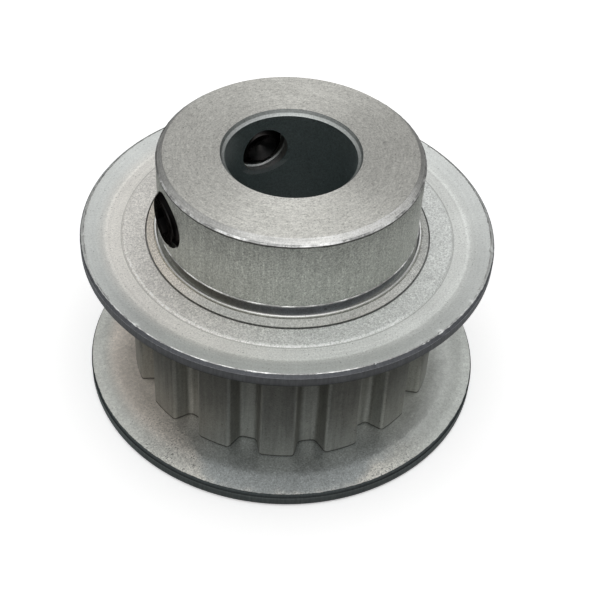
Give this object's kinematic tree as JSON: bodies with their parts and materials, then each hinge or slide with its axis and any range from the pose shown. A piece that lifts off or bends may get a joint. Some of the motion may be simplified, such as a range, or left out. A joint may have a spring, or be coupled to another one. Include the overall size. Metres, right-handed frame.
{
  "type": "timing belt pulley",
  "caption": "Small toothed timing belt pulley with a stamped flange on each side, a plain hub bored for a shaft, and cup point set screws at right angles.",
  "frame": {"origin": "on the bore axis, in the plane of the outer end face and of the lower flange's rim", "axes": "+Z along the bore axis from the toothed end towards the hub; the set screws point along -X and +Y"},
  "size_m": [0.0308, 0.0308, 0.0209],
  "materials": {
    "machined_aluminium": "fine turned and milled, satin",
    "stamped_flange": "matt grained sheet metal, dull plated",
    "black_oxide_steel": "black oxide, oiled"
  },
  "bodies": {
    "pulley": {"pulley_body": "machined_aluminium", "flange_hub_side": "stamped_flange", "flange_outer_side": "stamped_flange"},
    "left_screw": {"set_screw_left": "black_oxide_steel"},
    "back_screw": {"set_screw_back": "black_oxide_steel"}
  },
  "joints": [
    {"name": "left_screw_travel", "type": "slide", "parent": "pulley", "child": "left_screw", "axis": [-1, 0, 0], "range_m": [-0.0006, 0.002]},
    {"name": "back_screw_travel", "type": "slide", "parent": "pulley", "child": "back_screw", "axis": [0, 1, 0], "range_m": [-0.0006, 0.002]}
  ]
}
